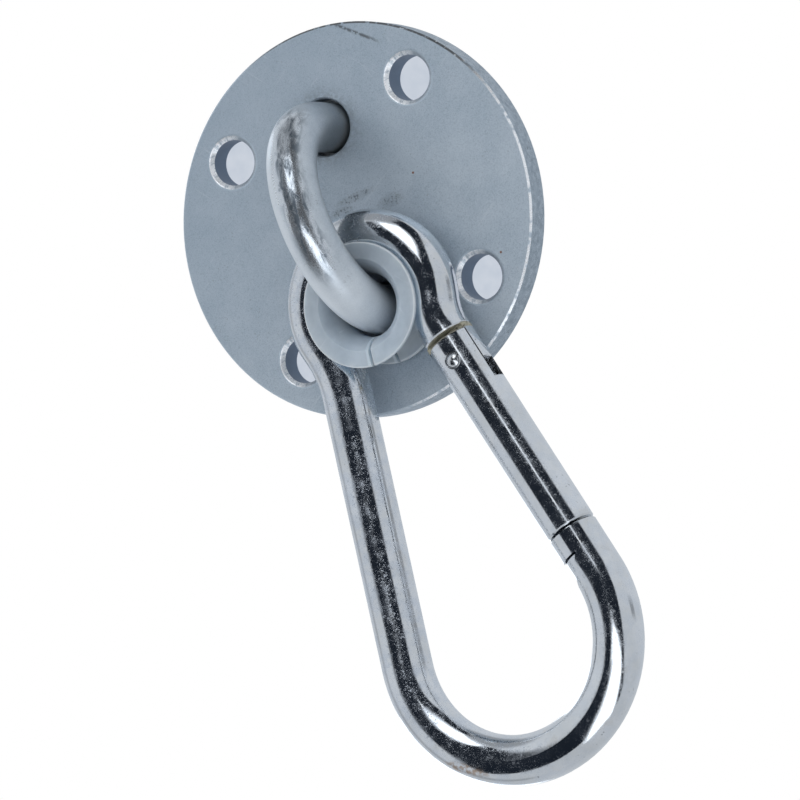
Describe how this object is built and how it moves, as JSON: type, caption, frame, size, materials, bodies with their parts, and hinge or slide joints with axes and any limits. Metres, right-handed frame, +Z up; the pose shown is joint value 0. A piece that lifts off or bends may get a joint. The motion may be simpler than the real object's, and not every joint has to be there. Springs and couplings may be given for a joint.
{
  "type": "hammock hook",
  "caption": "Round wall plate with a welded bow, and a spring-gated snap hook that swings and travels on the bow on a nylon bush.",
  "frame": {"origin": "centre of the plate's back face, which lies on the wall", "axes": "+Z up the wall, +Y into the wall, so the hook stands out towards -Y"},
  "size_m": [0.08, 0.0338, 0.1622],
  "materials": {
    "plate_zinc": "dull satin zinc plating with fine grain",
    "bow_zinc": "satin zinc plating, worn bright along the front",
    "weld_metal": "weld metal ground flush, zinc plated",
    "bush_nylon": "milky translucent nylon",
    "hook_zinc": "bright zinc plating with fine pits",
    "rivet_steel": "bright zinc-plated steel",
    "spring_steel": "drawn spring wire"
  },
  "bodies": {
    "wall_plate": {"mounting_plate": "plate_zinc", "bow": "bow_zinc", "upper_weld": "weld_metal", "lower_weld": "weld_metal"},
    "bush": {"bush": "bush_nylon"},
    "hook": {"hook_body": "hook_zinc"},
    "gate": {"gate": "hook_zinc", "gate_rivet": "rivet_steel", "gate_spring": "spring_steel"},
    "plunger": {"spring_plunger": "rivet_steel"}
  },
  "joints": [
    {"name": "bush_travel", "type": "hinge", "parent": "wall_plate", "child": "bush", "pos_m": [0.0004, -0.0087, 0], "axis": [-1, 0, 0], "range_deg": [0, 100]},
    {"name": "hook_swing", "type": "hinge", "parent": "bush", "child": "hook", "pos_m": [0.00093, -0.013, -0.0194], "axis": [0, -1, 0], "range_deg": [-80, 80]},
    {"name": "gate_swing", "type": "hinge", "parent": "hook", "child": "gate", "pos_m": [0.01565, -0.013, -0.03753], "axis": [0, 1, 0], "range_deg": [0, 28], "stiffness_Nm_per_rad": 0.15, "springref_deg": -28.65},
    {"name": "plunger_slide", "type": "slide", "parent": "gate", "child": "plunger", "axis": [0.2343, 0, -0.9722], "range_m": [0, 0.00085], "deforming": ["gate_spring"]}
  ],
  "couplings": [
    {"joint": "plunger_slide", "follows": "gate_swing", "m_per_rad": 0.001729}
  ]
}
